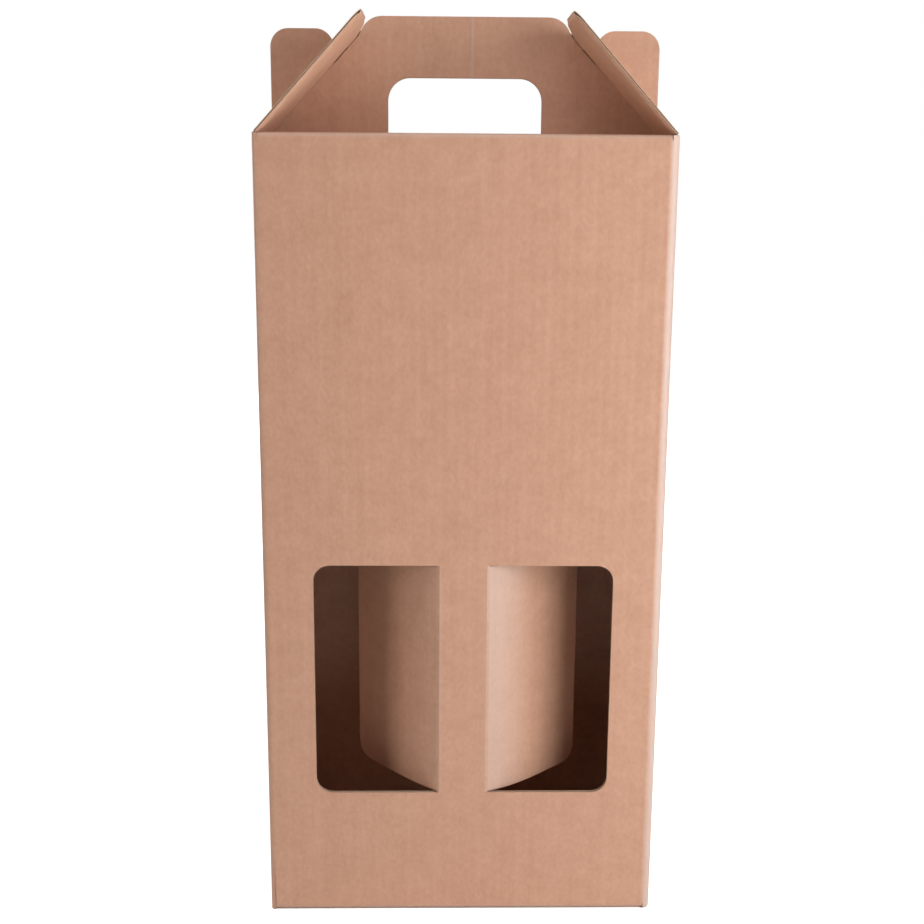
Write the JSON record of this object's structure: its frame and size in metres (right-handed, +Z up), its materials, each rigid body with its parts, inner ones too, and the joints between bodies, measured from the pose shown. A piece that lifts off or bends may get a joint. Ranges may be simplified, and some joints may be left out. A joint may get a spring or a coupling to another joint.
{
  "type": "wine bottle carrier box",
  "caption": "Tall folded corrugated-board carrier for two wine bottles, with a double carry handle, slotted locking side flaps and die-cut windows with fold-in flaps.",
  "frame": {"origin": "middle of the base, on the surface that the carton stands on", "axes": "+Z up to the handle, +X to the right seen from the front, the windowed front faces -Y"},
  "size_m": [0.18, 0.09, 0.4095],
  "materials": {
    "kraft_board": "uncoated brown kraft liner on corrugated board"
  },
  "bodies": {
    "carton": {"carton_body": "kraft_board"},
    "left_side_flap": {"left_side_flap": "kraft_board"},
    "right_side_flap": {"right_side_flap": "kraft_board"},
    "left_window_flap": {"left_window_flap": "kraft_board"},
    "right_window_flap": {"right_window_flap": "kraft_board"}
  },
  "joints": [
    {"name": "left_side_flap_open", "type": "hinge", "parent": "carton", "child": "left_side_flap", "pos_m": [-0.0891, 0, 0.3571], "axis": [0, -1, 0], "range_deg": [0, 132.4]},
    {"name": "right_side_flap_open", "type": "hinge", "parent": "carton", "child": "right_side_flap", "pos_m": [0.0891, 0, 0.3571], "axis": [0, 1, 0], "range_deg": [0, 132.4]},
    {"name": "left_window_flap_fold", "type": "hinge", "parent": "carton", "child": "left_window_flap", "pos_m": [-0.0105, -0.0441, 0.115], "axis": [0, 0, -1], "range_deg": [-47, 43]},
    {"name": "right_window_flap_fold", "type": "hinge", "parent": "carton", "child": "right_window_flap", "pos_m": [0.0105, -0.0441, 0.115], "axis": [0, 0, 1], "range_deg": [-39, 51]}
  ]
}
